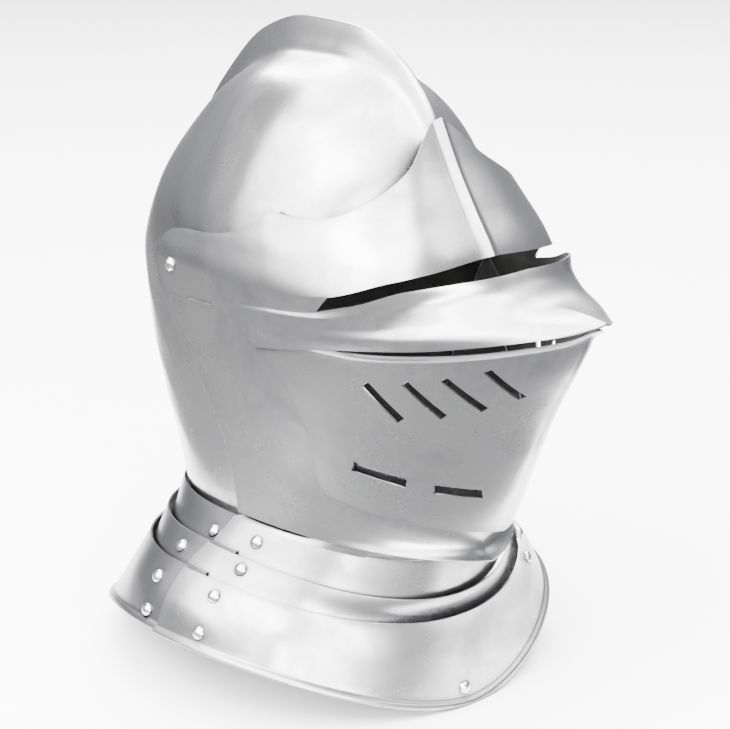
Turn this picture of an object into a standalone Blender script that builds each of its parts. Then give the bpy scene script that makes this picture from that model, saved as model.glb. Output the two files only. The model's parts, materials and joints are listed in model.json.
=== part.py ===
"""Close helmet of sheet steel: skull with comb, hinged visor, ventail and bevor, and a gorget of lames."""

import math

import bmesh
import bpy
import numpy as np
from mathutils import Matrix, Vector
from mathutils.bvhtree import BVHTree

# Frame and sheet. Tables below are in millimetres, measured from the temple hinge's axis:
# y is negative towards the face, z is up, x is out from the middle plane.
MM = 0.001
HINGE_Y = 0.0604
HINGE_Z = 0.2483
SHEET = 0.0012
MERGE = 0.00005

# Layers at the temple, from the bevor outwards.
LAYER_STEP = 1.7
BEVOR_INSET = 2 * LAYER_STEP
VENTAIL_INSET = LAYER_STEP
BACK_REACH = 120.0

# Outer half width of the helmet by height.
HALF_WIDTH = (
    # height, half width
    (-160, 86.0),
    (-140, 86.5),
    (-110, 88.0),
    (-75, 91.0),
    (-40, 94.0),
    (0, 95.0),
    (19, 92.0),
    (42, 86.0),
    (65, 77.0),
    (90, 62.0),
)
WIDEST = max(row[1] for row in HALF_WIDTH)

# Skull: ribs that run from the middle plane down to the lower side edge.
SKULL_ROUNDNESS = (2.3, 2.3, 2.75)
SKULL_SPREAD = 1.09474
SKULL_RIB_HALF_WIDTH = SKULL_SPREAD * WIDEST
SKULL_MIDDLE = (
    # y, z of the dome at the middle plane, from the brow over the top to the nape
    (-126, 52),
    (-117, 72),
    (-101, 91),
    (-76, 106),
    (-45, 113),
    (-12, 112),
    (22, 102),
    (50, 80),
    (75, 51),
    (88, 18),
    (89, -18),
    (83, -55),
    (71, -90),
    (61, -119),
    (54, -148),
)
SKULL_LOWER_FRONT = (-46, -146)
SKULL_LOWER_REAR = (-34, -151)
SKULL_BROW_BOW = 24.0
SKULL_TAPER = (
    # height, share of the rib's half width
    (-150, 0.725),
    (-133, 0.745),
    (-100, 0.768),
    (-75, 0.8),
    (-50, 0.845),
    (-20, 0.912),
    (0, 0.965),
    (40, 1.0),
    (115, 1.0),
)
SKULL_SHARES = (0.0, 0.018, 0.034, 0.05, 0.08, 0.125, 0.2, 0.33, 0.48, 0.63, 0.77)
SKULL_DROPS = (0.37, 0.51, 0.66, 0.82, 1.0)
SKULL_RIBS = 17

# Comb raised from the skull along the middle plane.
COMB_HEIGHT = (
    # direction from the hinge in degrees above the rear, height
    (-30, 0.0),
    (-5, 2.0),
    (15, 8.0),
    (35, 14.0),
    (60, 18.0),
    (90, 22.0),
    (115, 21.0),
    (135, 14.0),
    (150, 8.0),
    (165, 6.0),
)
COMB_PROFILE = (
    # distance from the middle plane, share of the comb's height
    (0.0, 1.0),
    (1.8, 0.95),
    (3.4, 0.72),
    (5.0, 0.42),
    (8.0, 0.2),
    (12.0, 0.08),
    (19.0, 0.02),
    (28.0, 0.0),
)

# Visor.
VISOR_ROUNDNESS = (2.8, 3.3)
VISOR_COLUMNS = 19
VISOR_FRONT = (
    # height, distance of the visor's face in front of the hinge
    (-20, 172.0),
    (0, 168.0),
    (19, 161.0),
    (42, 146.0),
    (65, 131.5),
    (90, 118.5),
    (100, 113.0),
)
VISOR_TOP_EDGE = (
    # angle round from the middle plane, height
    (0, 90),
    (5, 80),
    (11, 68),
    (18, 60),
    (26, 53),
    (34, 47),
    (40, 43),
    (47, 41),
    (54, 41.5),
    (60.5, 43),
    (63, 39),
    (69, 29),
    (74, 25.5),
    (80, 23),
    (88, 21.5),
    (93, 17.5),
    (96, 11),
)
VISOR_UPPER_ROWS = 7
VISOR_SIGHT_ROW = (-161, 16, (19, 13, 1.4, -2, 0))
VISOR_LOWER_ROWS = (
    # front y, rear y, heights at even steps round, plan exponents
    (-190, 10, (18, 16, 11, -0.8, -8, -10, -12, -13.5, -15), (2.8, 2.5)),
    (-196, -5, (9.5, 8.5, 5.2, -3.7, -9.7, -11.8, -14, -16, -17.5), (2.5, 2.3)),
    (-211, -30, (2.5, 1.8, -0.7, -7.5, -12.8, -15.4, -17.5, -18, -17), (2.4, 1.95)),
    (-231, -50, (2, -0.9, -5.2, -11.1, -16.3, -19.4, -22, -23.5, -21), (2.3, 1.7)),
    (-247, -67, (0.5, -3.2, -8.5, -14.2, -19.5, -23.2, -26.5, -31, -35), (2.2, 1.4)),
)
SIGHT_COLUMNS = 8
VISOR_TURN = (
    # share of the columns, share of the turn from the middle plane to the rear edge
    (0.0, 0.0),
    (SIGHT_COLUMNS / (VISOR_COLUMNS - 1), 0.556),
    (1.0, 1.0),
)
VISOR_RIDGE_HEIGHT = 4.0
VISOR_RIDGE_HALF_WIDTH = 5.0

# Ventail.
VENTAIL_KEEL = (
    # height, distance of the keel in front of the hinge
    (-136, 176.0),
    (-116, 185.0),
    (-88, 197.0),
    (-69, 205.0),
    (-50, 215.0),
    (-28, 228.0),
    (-12, 235.0),
    (10, 240.0),
)
VENTAIL_LOWER_EDGE = (
    # y, z from the chin's middle round the lower edge, up the rear edge and back along the arm
    (-176, -136),
    (-164, -134),
    (-150, -131),
    (-132, -127),
    (-116, -122),
    (-105, -118),
    (-100, -111),
    (-98, -100),
    (-97, -88),
    (-94, -76),
    (-90, -66),
    (-84, -54),
    (-76, -45),
    (-66, -36),
    (-57, -25),
    (-45, -14),
    (-20, -12),
    (6, -11),
)
VENTAIL_UPPER_EDGE = (
    # y, z from the middle round under the prow and back along the arm
    (-235, -12),
    (-228, -17),
    (-205, -24),
    (-170, -31),
    (-130, -35),
    (-98, -32),
    (-45, 3),
    (6, 8),
)
VENTAIL_LIP = (
    # share of the lip, extra reach, rise
    (0.5, 4.0, 5.5),
    (1.0, 8.0, 9.0),
)
VENTAIL_LIP_FADE = ((0.0, 1.0), (0.55, 1.0), (0.75, 0.3), (1.0, 0.3))
VENTAIL_EXPONENTS = (2.2, 1.4)
VENTAIL_COLUMNS = 20
VENTAIL_ROWS = 7

# Bevor.
BEVOR_ROWS = (
    # front y, rear y, heights at even steps round
    (-173, 6, (-112, -66, 17)),
    (-171, 19, (-118, -76, 4)),
    (-169, 17, (-124, -88, -12)),
    (-166, 6, (-131, -99, -29)),
    (-163, -4, (-137, -111, -46)),
    (-161, -17, (-142, -122, -66)),
    (-160, -28, (-147, -131, -88)),
    (-161, -35, (-151, -139, -111)),
    (-164, -39, (-154, -146, -132)),
    (-168, -40, (-156, -150, -143)),
)
BEVOR_EXPONENTS = (2.3, 1.7)
BEVOR_COLUMNS = 14

# Gorget: the rings its lames follow, at the innermost lame's outer face.
GORGET_RINGS = (
    # z at side, z at front, z at rear, half width, front y, rear y, centre y,
    # plan exponents at the front, plan exponent at the rear, height exponent at the front
    (-146, -161, -143, 79.1, -137, 57.5, -33, 2.2, 1.95, 2.6, 2.0),
    (-160, -183, -163, 89.0, -137, 64, -26, 2.3, 2.0, 2.2, 2.0),
    (-172, -196, -179, 99.5, -133.5, 69, -20, 2.3, 2.05, 1.95, 2.2),
    (-189, -222, -214, 111.5, -137.5, 90, -17, 2.7, 1.85, 1.8, 3.0),
    (-209, -250, -250, 119.0, -143, 116, -15, 3.1, 1.7, 1.75, 3.8),
)

RIM_LEVELS = (2, 2.7, 3.4, 3.78, 3.84, 3.9, 3.96, 4)
RIM_SWELLS = (0, 0, 0, 0, 1.6, 2.4, 2.4, 1.2)
LAMES = (
    # name, levels down the rings, first and last angle round, offset outwards, columns, swells of its rows
    ("front_lame_1", (0, 0.7, 1.35), 0, 88, 2.4, BEVOR_COLUMNS, ()),
    ("front_lame_2", (1, 1.7, 2.6), 0, 88, 7.0, 12, ()),
    ("front_lame_3", RIM_LEVELS, 0, 86.5, 11.9, 12, RIM_SWELLS),
    ("rear_lame_1", (0, 0.7, 1.65), 85, 180, 0.0, 11, ()),
    ("rear_lame_2", (1, 1.7, 2.6), 77, 180, 4.6, 11, ()),
    ("rear_lame_3", RIM_LEVELS, 79, 180, 9.0, 11, RIM_SWELLS),
)
# The first front lame's top goes up inside the bevor's neck and is riveted there.
TUCKED_LAME = "front_lame_1"
TUCK_RISES = (8.0, -0.8)
TUCK_GAP = SHEET / MM + 0.4
TUCK_SETBACK = 3.0

# Level that the rim is ground flat to, where it rests.
REST_LEVEL = -HINGE_Z / MM
REST_BLOCK = (400.0, 500.0, 40.0)

# Places inside the helmet and the gorget, to tell the outer side of a sheet.
PLATE_CORE = (0, -30, 0)
GORGET_CORE = (0, -20, -190)

# Breaths of the ventail in side view, cut through along x.
BREATHS = (
    # start y, start z, end y, end z, width
    (-135, -45, -150.5, -65, 5.2),
    (-156.5, -41.5, -171.5, -60.5, 4.6),
    (-176.5, -37, -190, -54.5, 4.4),
    (-197, -30, -206, -46.5, 4.2),
    (-120.5, -97, -147, -104, 6.2),
    (-158.5, -106.5, -177.5, -109, 5.6),
)
BREATH_NEAR_X = -6.0
BREATH_FAR_X = -110.0

# Rivets.
HEAD_RADIUS = 4.2
HEAD_HEIGHT = 2.6
SHANK_RADIUS = 2.5
PIVOT_HEAD_X = WIDEST + 0.3
PIVOT_INNER_X = 81.6
PIVOT_INNER_HEIGHT = 1.2
HOLE_RADIUS = 2.9
HOLE_RUN_OUT = 25.0
RIVET_SEGMENTS = 10
QUARTER_TURN = [math.radians(a) for a in (0, 30, 60, 90)]
SEAT_GAP = 0.0003
PROBE_HEIGHT = 0.012
PROBE_ANGLE = 2.0
PROBE_LEVEL = 0.1
LAME_RIVETS = (
    # name, lame, angle round, level down the rings, whether the left side has its twin
    ("front_lame_1_rivet", "front_lame_1", 73.5, 0.5, True),
    ("front_lame_2_rivet", "front_lame_2", 71, 1.45, True),
    ("front_lame_3_upper_rivet", "front_lame_3", 72, 2.45, True),
    ("front_lame_3_lower_rivet", "front_lame_3", 72, 3.52, True),
    ("front_lame_3_point_rivet", "front_lame_3", 3.0, 3.6, False),
    ("rear_lame_1_rivet", "rear_lame_1", 91.5, 0.8, True),
    ("rear_lame_2_rivet", "rear_lame_2", 97, 1.65, True),
    ("rear_lame_3_upper_rivet", "rear_lame_3", 95, 2.65, True),
    ("rear_lame_3_lower_rivet", "rear_lame_3", 93, 3.62, True),
)
LEFT_EXTRA_RIVETS = (
    # name, lame, angle round, level down the rings
    ("front_lame_3_extra_rivet_a_left", "front_lame_3", 50, 2.15),
    ("front_lame_3_extra_rivet_b_left", "front_lame_3", 42, 2.55),
)


def smooth(table, position):
    """Smooth monotone curve through the first two columns of a table."""
    xs = np.array([row[0] for row in table], float)
    ys = np.array([row[1] for row in table], float)
    position = min(max(position, xs[0]), xs[-1])
    steps = np.diff(xs)
    slopes = np.diff(ys) / steps
    tangents = np.zeros(len(xs))
    for i in range(1, len(xs) - 1):
        if slopes[i - 1] * slopes[i] > 0:
            tangents[i] = 2 * slopes[i - 1] * slopes[i] / (slopes[i - 1] + slopes[i])
    tangents[0] = slopes[0]
    tangents[-1] = slopes[-1]
    i = min(int(np.searchsorted(xs, position, side="right")) - 1, len(xs) - 2)
    u = (position - xs[i]) / steps[i]
    start = (1 + 2 * u) * (1 - u) ** 2 * ys[i] + u * (1 - u) ** 2 * steps[i] * tangents[i]
    end = u * u * (3 - 2 * u) * ys[i + 1] - u * u * (1 - u) * steps[i] * tangents[i + 1]
    return start + end


def even_steps(values):
    """A table that spreads values evenly from 0 to 1."""
    return tuple((i / (len(values) - 1), value) for i, value in enumerate(values))


def point(x, y, z):
    """A place given in millimetres from the hinge's axis, in metres."""
    return Vector((x * MM, y * MM, z * MM))


def plan_point(angle, reach, half_width, exponents):
    """Outward x and y of a plate's plan at an angle round from the front."""
    forward = math.cos(angle)
    if forward >= 0:
        y = -reach * forward
        x = half_width * (1 - forward ** exponents[0]) ** (1 / exponents[1])
    else:
        y = -BACK_REACH * forward
        x = half_width * math.sqrt(1 - forward * forward)
    return -x, y


def end_angle(reach, rear_y):
    """Angle at which a plate's plan reaches its rear edge."""
    if rear_y > 0:
        return math.pi / 2 + math.asin(rear_y / BACK_REACH)
    return math.acos(-rear_y / reach)


def face_row(row, inset, exponents, columns, turn=((0.0, 0.0), (1.0, 1.0))):
    """One row of a face plate, from the middle plane round to its rear edge."""
    front_y, rear_y, row_heights = row[:3]
    heights = even_steps(row_heights)
    last = end_angle(-front_y, rear_y)
    points = []
    for i in range(columns):
        share = i / (columns - 1)
        z = smooth(heights, share)
        half_width = smooth(HALF_WIDTH, z) - inset
        x, y = plan_point(smooth(turn, share) * last, -front_y, half_width, exponents)
        points.append(point(x, y, z))
    return points


def edge_place(edge, keel, share):
    """Angle round from the front and height of a side-view edge at a share of its length."""
    y = smooth(even_steps([row[0] for row in edge]), share)
    z = smooth(even_steps([row[1] for row in edge]), share)
    return end_angle(smooth(keel, z), y), z


def ventail_rows():
    """Rows of the ventail from its lower edge up to the out-turned lip."""
    rows = []
    lifts = [(v / (VENTAIL_ROWS - 1), 0.0, 0.0) for v in range(VENTAIL_ROWS)]
    lifts += [(1.0, reach, rise) for _, reach, rise in VENTAIL_LIP]
    for up, extra_reach, rise in lifts:
        row = []
        for i in range(VENTAIL_COLUMNS):
            share = i / (VENTAIL_COLUMNS - 1)
            low_angle, low_z = edge_place(VENTAIL_LOWER_EDGE, VENTAIL_KEEL, share)
            top_angle, top_z = edge_place(VENTAIL_UPPER_EDGE, VENTAIL_KEEL, share)
            fade = smooth(VENTAIL_LIP_FADE, share)
            angle = low_angle + (top_angle - low_angle) * up
            z = low_z + (top_z - low_z) * up
            reach = smooth(VENTAIL_KEEL, z) + extra_reach * fade
            z += rise * fade
            half_width = smooth(HALF_WIDTH, z) - VENTAIL_INSET
            x, y = plan_point(angle, reach, half_width, VENTAIL_EXPONENTS)
            row.append(point(x, y, z))
        rows.append(row)
    return rows


def skull_rows():
    """Ribs of the skull, from the brow to the lower rear edge."""
    middle_y = tuple((i, row[0]) for i, row in enumerate(SKULL_MIDDLE))
    middle_z = tuple((i, row[1]) for i, row in enumerate(SKULL_MIDDLE))
    rows = []
    for k in range(SKULL_RIBS):
        share = k / (SKULL_RIBS - 1)
        place = share * (len(SKULL_MIDDLE) - 1)
        top_y = smooth(middle_y, place)
        top_z = smooth(middle_z, place)
        low_y = SKULL_LOWER_FRONT[0] + (SKULL_LOWER_REAR[0] - SKULL_LOWER_FRONT[0]) * share
        low_z = SKULL_LOWER_FRONT[1] + (SKULL_LOWER_REAR[1] - SKULL_LOWER_FRONT[1]) * share
        bow = SKULL_BROW_BOW * max(0.0, 1 - share / 0.4)
        power = smooth(even_steps(SKULL_ROUNDNESS), share)
        drops = [1 - (1 - s**power) ** (1 / power) for s in SKULL_SHARES]
        drops += list(SKULL_DROPS)
        row = []
        for drop in drops:
            y = top_y + (low_y - top_y) * drop + bow * math.sin(math.pi * drop)
            z = top_z + (low_z - top_z) * drop
            across = (1 - (1 - drop) ** power) ** (1 / power)
            x = SKULL_RIB_HALF_WIDTH * across * smooth(SKULL_TAPER, z)
            direction = math.atan2(z, y)
            if direction < -math.pi / 2:
                direction += 2 * math.pi
            rise = smooth(COMB_HEIGHT, math.degrees(direction)) * smooth(COMB_PROFILE, x)
            row.append(point(-x, y + rise * math.cos(direction), z + rise * math.sin(direction)))
        rows.append(row)
    return rows


def visor_rows():
    """Rows of the visor: top edge to the sight, then the stepped prow to its lower edge."""
    rows = []
    sight_y, sight_rear, sight_row_heights = VISOR_SIGHT_ROW
    sight_heights = even_steps(sight_row_heights)
    sight_end = math.degrees(end_angle(-sight_y, sight_rear))
    top_end = VISOR_TOP_EDGE[-1][0]
    for k in range(VISOR_UPPER_ROWS):
        down = k / (VISOR_UPPER_ROWS - 1)
        last = top_end + (sight_end - top_end) * math.sin(down * math.pi / 2)
        exponents = (smooth(even_steps(VISOR_ROUNDNESS), down),) * 2
        row = []
        for i in range(VISOR_COLUMNS):
            share = i / (VISOR_COLUMNS - 1)
            top_z = smooth(VISOR_TOP_EDGE, share * top_end)
            z = top_z + (smooth(sight_heights, share) - top_z) * down
            reach = smooth(VISOR_FRONT, z)
            x, y = plan_point(math.radians(share * last), reach, smooth(HALF_WIDTH, z), exponents)
            row.append(ridged(x, y, z))
        rows.append(row)
    for line in VISOR_LOWER_ROWS:
        rows.append(face_row(line, 0.0, line[3], VISOR_COLUMNS, VISOR_TURN))
    return rows


def ridged(x, y, z):
    """A visor point with the narrow ridge down its middle."""
    rise = VISOR_RIDGE_HEIGHT * max(0.0, 1 + x / VISOR_RIDGE_HALF_WIDTH)
    return point(x, y - rise, z)


def gorget_point(level, angle, offset):
    """A place on the gorget: level down its rings, angle round from the front."""
    columns = range(len(GORGET_RINGS[0]))
    ring = [smooth(tuple((i, row[k]) for i, row in enumerate(GORGET_RINGS)), level) for k in columns]
    side_z, front_z, rear_z, half_width, front_y, rear_y, centre_y = ring[:7]
    front_power, front_root, rear_power, height_power = ring[7:]
    forward = math.cos(angle)
    away = min(abs(forward), 1.0)
    if forward >= 0:
        y = centre_y - (centre_y - front_y + offset) * away
        z = side_z + (front_z - side_z) * away**height_power
        x = (half_width + offset) * (1 - away**front_power) ** (1 / front_root)
    else:
        y = centre_y + (rear_y - centre_y + offset) * away
        z = side_z + (rear_z - side_z) * away**2
        x = (half_width + offset) * (1 - away**rear_power) ** (1 / rear_power)
    return point(-x, y, z)


def lame_rows(lame):
    """Rows of one lame, from its upper to its lower edge."""
    name, levels, first_angle, last_angle, offset, columns, swells = lame
    rows = tucked_rows(columns) if name == TUCKED_LAME else []
    for k, level in enumerate(levels):
        swell = swells[k] if swells else 0.0
        row = []
        for i in range(columns):
            angle = first_angle + (last_angle - first_angle) * i / (columns - 1)
            row.append(gorget_point(level, math.radians(angle), offset + swell))
        rows.append(row)
    return rows


def tucked_rows(columns):
    """Rows that lie inside the bevor's neck, the last of them just below its lower edge."""
    front_y = max(row[0] for row in BEVOR_ROWS) + TUCK_GAP
    rear_y = BEVOR_ROWS[-1][1] - TUCK_SETBACK
    rows = []
    for rise in TUCK_RISES:
        heights = [z + rise for z in BEVOR_ROWS[-1][2]]
        rows.append(face_row((front_y, rear_y, heights), BEVOR_INSET + TUCK_GAP, BEVOR_EXPONENTS, columns))
    return rows


def make_material(name, colour, roughness):
    """Steel as a Principled material."""
    material = bpy.data.materials.new(name)
    material.use_nodes = True
    shader = material.node_tree.nodes["Principled BSDF"]
    shader.inputs["Base Color"].default_value = (*colour, 1.0)
    shader.inputs["Metallic"].default_value = 1.0
    shader.inputs["Roughness"].default_value = roughness
    return material


def lame_metal(name):
    """Front lames are brighter than rear ones."""
    return bright if name.startswith("front") else dark


def plate(name, rows, material, slit_row=None, slit_columns=0):
    """A mirrored sheet-metal plate from rows of points on the wearer's right half."""
    count = len(rows[0])
    mesh = bpy.data.meshes.new(name)
    vertices = [p for row in rows for p in row]
    faces = []
    for k in range(len(rows) - 1):
        for i in range(count - 1):
            if k == slit_row and i < slit_columns:
                continue
            a = k * count + i
            faces.append((a, a + 1, a + count + 1, a + count))
    mesh.from_pydata(vertices, [], faces)
    built = bmesh.new()
    built.from_mesh(mesh)
    bmesh.ops.recalc_face_normals(built, faces=built.faces)
    middle = built.faces[len(built.faces) // 2]
    outward = middle.calc_center_median() - point(*PLATE_CORE)
    outward.z = 0.0
    if middle.normal.dot(outward) < 0:
        bmesh.ops.reverse_faces(built, faces=built.faces)
    for vertex in built.verts:
        if abs(vertex.co.x) < MERGE:
            vertex.co.x = 0.0
    built.to_mesh(mesh)
    built.free()
    mesh.shade_smooth()
    piece = bpy.data.objects.new(name, mesh)
    helmet.objects.link(piece)
    piece.location = (0.0, HINGE_Y, HINGE_Z)
    mesh.materials.append(material)
    mirror = piece.modifiers.new("mirror", "MIRROR")
    mirror.merge_threshold = MERGE
    solid = piece.modifiers.new("sheet", "SOLIDIFY")
    solid.thickness = SHEET
    solid.offset = -1.0
    return piece


def cutter_object(name, mesh):
    """A cutting solid in the helmet's place, left out of the render."""
    piece = bpy.data.objects.new(name, mesh)
    cutters.objects.link(piece)
    piece.location = (0.0, HINGE_Y, HINGE_Z)
    piece.hide_render = True
    piece.display_type = "WIRE"
    return piece


def make_breath_cutter():
    """One bar along x for each breath, on both sides."""
    built = bmesh.new()
    for start_y, start_z, end_y, end_z, width in BREATHS:
        along = Vector((0, end_y - start_y, end_z - start_z))
        turn = math.atan2(along.z, along.y)
        middle_y = (start_y + end_y) / 2
        middle_z = (start_z + end_z) / 2
        for side in (-1, 1):
            middle_x = side * abs(BREATH_NEAR_X + BREATH_FAR_X) / 2
            size = (BREATH_NEAR_X - BREATH_FAR_X, along.length, width)
            place = Matrix.Translation(point(middle_x, middle_y, middle_z)) @ Matrix.Rotation(turn, 4, "X")
            bmesh.ops.create_cube(built, matrix=place @ Matrix.Diagonal((*(s * MM for s in size), 1.0)))
    mesh = bpy.data.meshes.new("breath_cutter")
    built.to_mesh(mesh)
    built.free()
    return cutter_object("breath_cutter", mesh)


def make_hole_cutter():
    """The rod that cuts the temple holes through every layer on both sides."""
    built = bmesh.new()
    bmesh.ops.create_cone(
        built,
        cap_ends=True,
        segments=16,
        radius1=HOLE_RADIUS * MM,
        radius2=HOLE_RADIUS * MM,
        depth=2 * (PIVOT_HEAD_X + HOLE_RUN_OUT) * MM,
        matrix=Matrix.Rotation(math.pi / 2, 4, "Y"),
    )
    mesh = bpy.data.meshes.new("hole_cutter")
    built.to_mesh(mesh)
    built.free()
    return cutter_object("hole_cutter", mesh)


def make_rest_cutter():
    """The block below the level that the helmet rests on."""
    built = bmesh.new()
    middle = point(0, 0, REST_LEVEL - REST_BLOCK[2] / 2)
    size = Matrix.Diagonal((*(s * MM for s in REST_BLOCK), 1.0))
    bmesh.ops.create_cube(built, matrix=Matrix.Translation(middle) @ size)
    mesh = bpy.data.meshes.new("rest_cutter")
    built.to_mesh(mesh)
    built.free()
    return cutter_object("rest_cutter", mesh)


def cut(piece, cutter):
    """Take a cutter away from a piece."""
    boolean = piece.modifiers.new(cutter.name, "BOOLEAN")
    boolean.operation = "DIFFERENCE"
    boolean.solver = "EXACT"
    boolean.object = cutter


def turned_mesh(name, profile, material):
    """A solid turned about z from a profile of radius and height."""
    built = bmesh.new()
    vertices = [built.verts.new((radius * MM, 0.0, height * MM)) for radius, height in profile]
    edges = [built.edges.new(pair) for pair in zip(vertices, vertices[1:])]
    bmesh.ops.spin(
        built,
        geom=vertices + edges,
        axis=(0, 0, 1),
        cent=(0, 0, 0),
        dvec=(0, 0, 0),
        angle=2 * math.pi,
        steps=RIVET_SEGMENTS,
        use_merge=True,
    )
    bmesh.ops.remove_doubles(built, verts=built.verts, dist=MERGE)
    bmesh.ops.recalc_face_normals(built, faces=built.faces)
    mesh = bpy.data.meshes.new(name)
    built.to_mesh(mesh)
    built.free()
    mesh.shade_smooth()
    mesh.set_sharp_from_angle(angle=math.radians(50))
    mesh.materials.append(material)
    return mesh


def stand(name, mesh, place, outward):
    """A rivet with its axis along the outward direction."""
    piece = bpy.data.objects.new(name, mesh)
    helmet.objects.link(piece)
    piece.location = Vector((0.0, HINGE_Y, HINGE_Z)) + place
    piece.rotation_mode = "QUATERNION"
    piece.rotation_quaternion = outward.to_track_quat("Z", "Y")
    return piece


def lame_place(lame, angle, level):
    """A rivet's seat on a lame and the outward direction there."""
    offset = next(row[4] for row in LAMES if row[0] == lame)
    here = gorget_point(level, math.radians(angle), offset)
    ahead = gorget_point(level, math.radians(angle + PROBE_ANGLE), offset)
    behind = gorget_point(level, math.radians(angle - PROBE_ANGLE), offset)
    down = gorget_point(level + PROBE_LEVEL, math.radians(angle), offset) - here
    outward = down.cross(ahead - behind).normalized()
    if outward.dot(here - point(*GORGET_CORE)) < 0:
        outward = -outward
    return seated(lame, here, outward), outward


def seated(lame, here, outward):
    """The lowest place along the outward direction where a head clears its lame all round."""
    built = bmesh.new()
    built.from_mesh(bpy.data.objects[lame].data)
    tree = BVHTree.FromBMesh(built)
    built.free()
    across = outward.orthogonal().normalized()
    start = here + outward * PROBE_HEIGHT
    reaches = []
    for turn in range(RIVET_SEGMENTS + 1):
        spread = across * HEAD_RADIUS * MM if turn else Vector()
        spin = Matrix.Rotation(2 * math.pi * turn / RIVET_SEGMENTS, 3, outward)
        distance = tree.ray_cast(start + spin @ spread, -outward)[3]
        if distance is not None:
            reaches.append(distance)
    return start - outward * (min(reaches) - SEAT_GAP)


def flipped(vector):
    """The same place or direction on the other side of the middle plane."""
    return Vector((-vector.x, vector.y, vector.z))


for old in list(bpy.data.objects):
    bpy.data.objects.remove(old, do_unlink=True)

helmet = bpy.data.collections.new("close_helmet")
bpy.context.scene.collection.children.link(helmet)
cutters = bpy.data.collections.new("cutters")
bpy.context.scene.collection.children.link(cutters)

bright = make_material("bright_steel", (0.66, 0.66, 0.67), 0.24)
dark = make_material("grey_steel", (0.5, 0.5, 0.51), 0.3)

skull = plate("skull", skull_rows(), bright)
visor = plate("visor", visor_rows(), bright, VISOR_UPPER_ROWS - 1, SIGHT_COLUMNS)
ventail = plate("ventail", ventail_rows(), bright)
bevor = plate(
    "bevor",
    [face_row(row, BEVOR_INSET, BEVOR_EXPONENTS, BEVOR_COLUMNS) for row in BEVOR_ROWS],
    bright,
)
lames = {lame[0]: plate(lame[0], lame_rows(lame), lame_metal(lame[0])) for lame in LAMES}

breath_cutter = make_breath_cutter()
cut(ventail, breath_cutter)
rest_cutter = make_rest_cutter()
for resting in (lames["front_lame_3"], lames["rear_lame_3"]):
    cut(resting, rest_cutter)
hole_cutter = make_hole_cutter()
for holed in (skull, visor, ventail, bevor):
    cut(holed, hole_cutter)

head_profile = [(HEAD_RADIUS * math.cos(t), HEAD_HEIGHT * math.sin(t)) for t in QUARTER_TURN]
pivot_profile = head_profile[::-1] + [
    (SHANK_RADIUS, 0.0),
    (SHANK_RADIUS, PIVOT_INNER_X - PIVOT_HEAD_X),
    (HEAD_RADIUS, PIVOT_INNER_X - PIVOT_HEAD_X),
    (HEAD_RADIUS, PIVOT_INNER_X - PIVOT_HEAD_X - PIVOT_INNER_HEIGHT),
    (0.0, PIVOT_INNER_X - PIVOT_HEAD_X - PIVOT_INNER_HEIGHT),
]
plain_profile = head_profile[::-1] + [(0.0, 0.0)]
pivot_mesh = turned_mesh("pivot_rivet", pivot_profile, bright)
rivet_mesh = turned_mesh("gorget_rivet", plain_profile, bright)
for side, side_name in ((-1, "right"), (1, "left")):
    stand(f"pivot_rivet_{side_name}", pivot_mesh, point(side * PIVOT_HEAD_X, 0, 0), Vector((side, 0, 0)))
for name, lame, angle, level, twin in LAME_RIVETS:
    place, outward = lame_place(lame, angle, level)
    stand(f"{name}_right" if twin else name, rivet_mesh, place, outward)
    if twin:
        stand(f"{name}_left", rivet_mesh, flipped(place), flipped(outward))
for name, lame, angle, level in LEFT_EXTRA_RIVETS:
    place, outward = lame_place(lame, angle, level)
    stand(name, rivet_mesh, flipped(place), flipped(outward))
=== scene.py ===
"""Close helmet of polished sheet steel on a pale floor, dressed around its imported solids."""

import json
import math

import bmesh
import bpy
import numpy as np
from mathutils import Matrix, Vector
from mathutils.bvhtree import BVHTree

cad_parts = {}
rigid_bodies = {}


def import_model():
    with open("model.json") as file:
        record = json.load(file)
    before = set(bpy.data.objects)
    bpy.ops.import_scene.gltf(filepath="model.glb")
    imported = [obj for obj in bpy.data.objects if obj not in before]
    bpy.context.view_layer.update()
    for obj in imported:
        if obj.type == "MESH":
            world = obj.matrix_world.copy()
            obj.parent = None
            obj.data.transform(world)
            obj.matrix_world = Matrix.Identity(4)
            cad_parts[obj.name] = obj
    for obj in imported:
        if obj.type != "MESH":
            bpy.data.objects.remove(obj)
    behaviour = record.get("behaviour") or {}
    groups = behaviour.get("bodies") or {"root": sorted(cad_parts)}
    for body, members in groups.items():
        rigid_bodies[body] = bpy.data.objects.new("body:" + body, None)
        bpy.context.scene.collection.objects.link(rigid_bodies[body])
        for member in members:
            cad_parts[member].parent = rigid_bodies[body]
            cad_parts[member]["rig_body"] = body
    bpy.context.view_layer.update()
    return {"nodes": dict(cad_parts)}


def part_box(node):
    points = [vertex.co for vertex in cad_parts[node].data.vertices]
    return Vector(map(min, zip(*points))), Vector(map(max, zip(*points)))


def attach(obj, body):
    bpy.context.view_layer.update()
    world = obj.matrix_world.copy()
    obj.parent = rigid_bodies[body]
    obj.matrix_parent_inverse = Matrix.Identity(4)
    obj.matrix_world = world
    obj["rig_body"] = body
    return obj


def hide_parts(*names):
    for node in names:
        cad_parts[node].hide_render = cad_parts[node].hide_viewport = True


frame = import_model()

# Skull: the bowl over the head, raised from one sheet of mild steel, with a tall comb drawn up along the
# middle. It is hammered over stakes and ground and polished bright outside, and its inside is painted
# near black as painted shade. Every other plate hangs on its temple rivets or lies around it.

# The plates' lengths are in mm from the middle of the temple rivets' axis, with x to the wearer's left,
# y to the rear and z up. The hinge's place, the shaders' distances and the studio are in metres.
MM = 0.001
HINGE = Vector((0.0, 0.0604, 0.2483))
SHEET = 1.2
EDGE_ROUNDING = 0.35
EDGE_ANGLE = 50
# How far the grey tarnish and painted shade reach in from a plate's edge.
SEAM_REACH = 7.0
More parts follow.
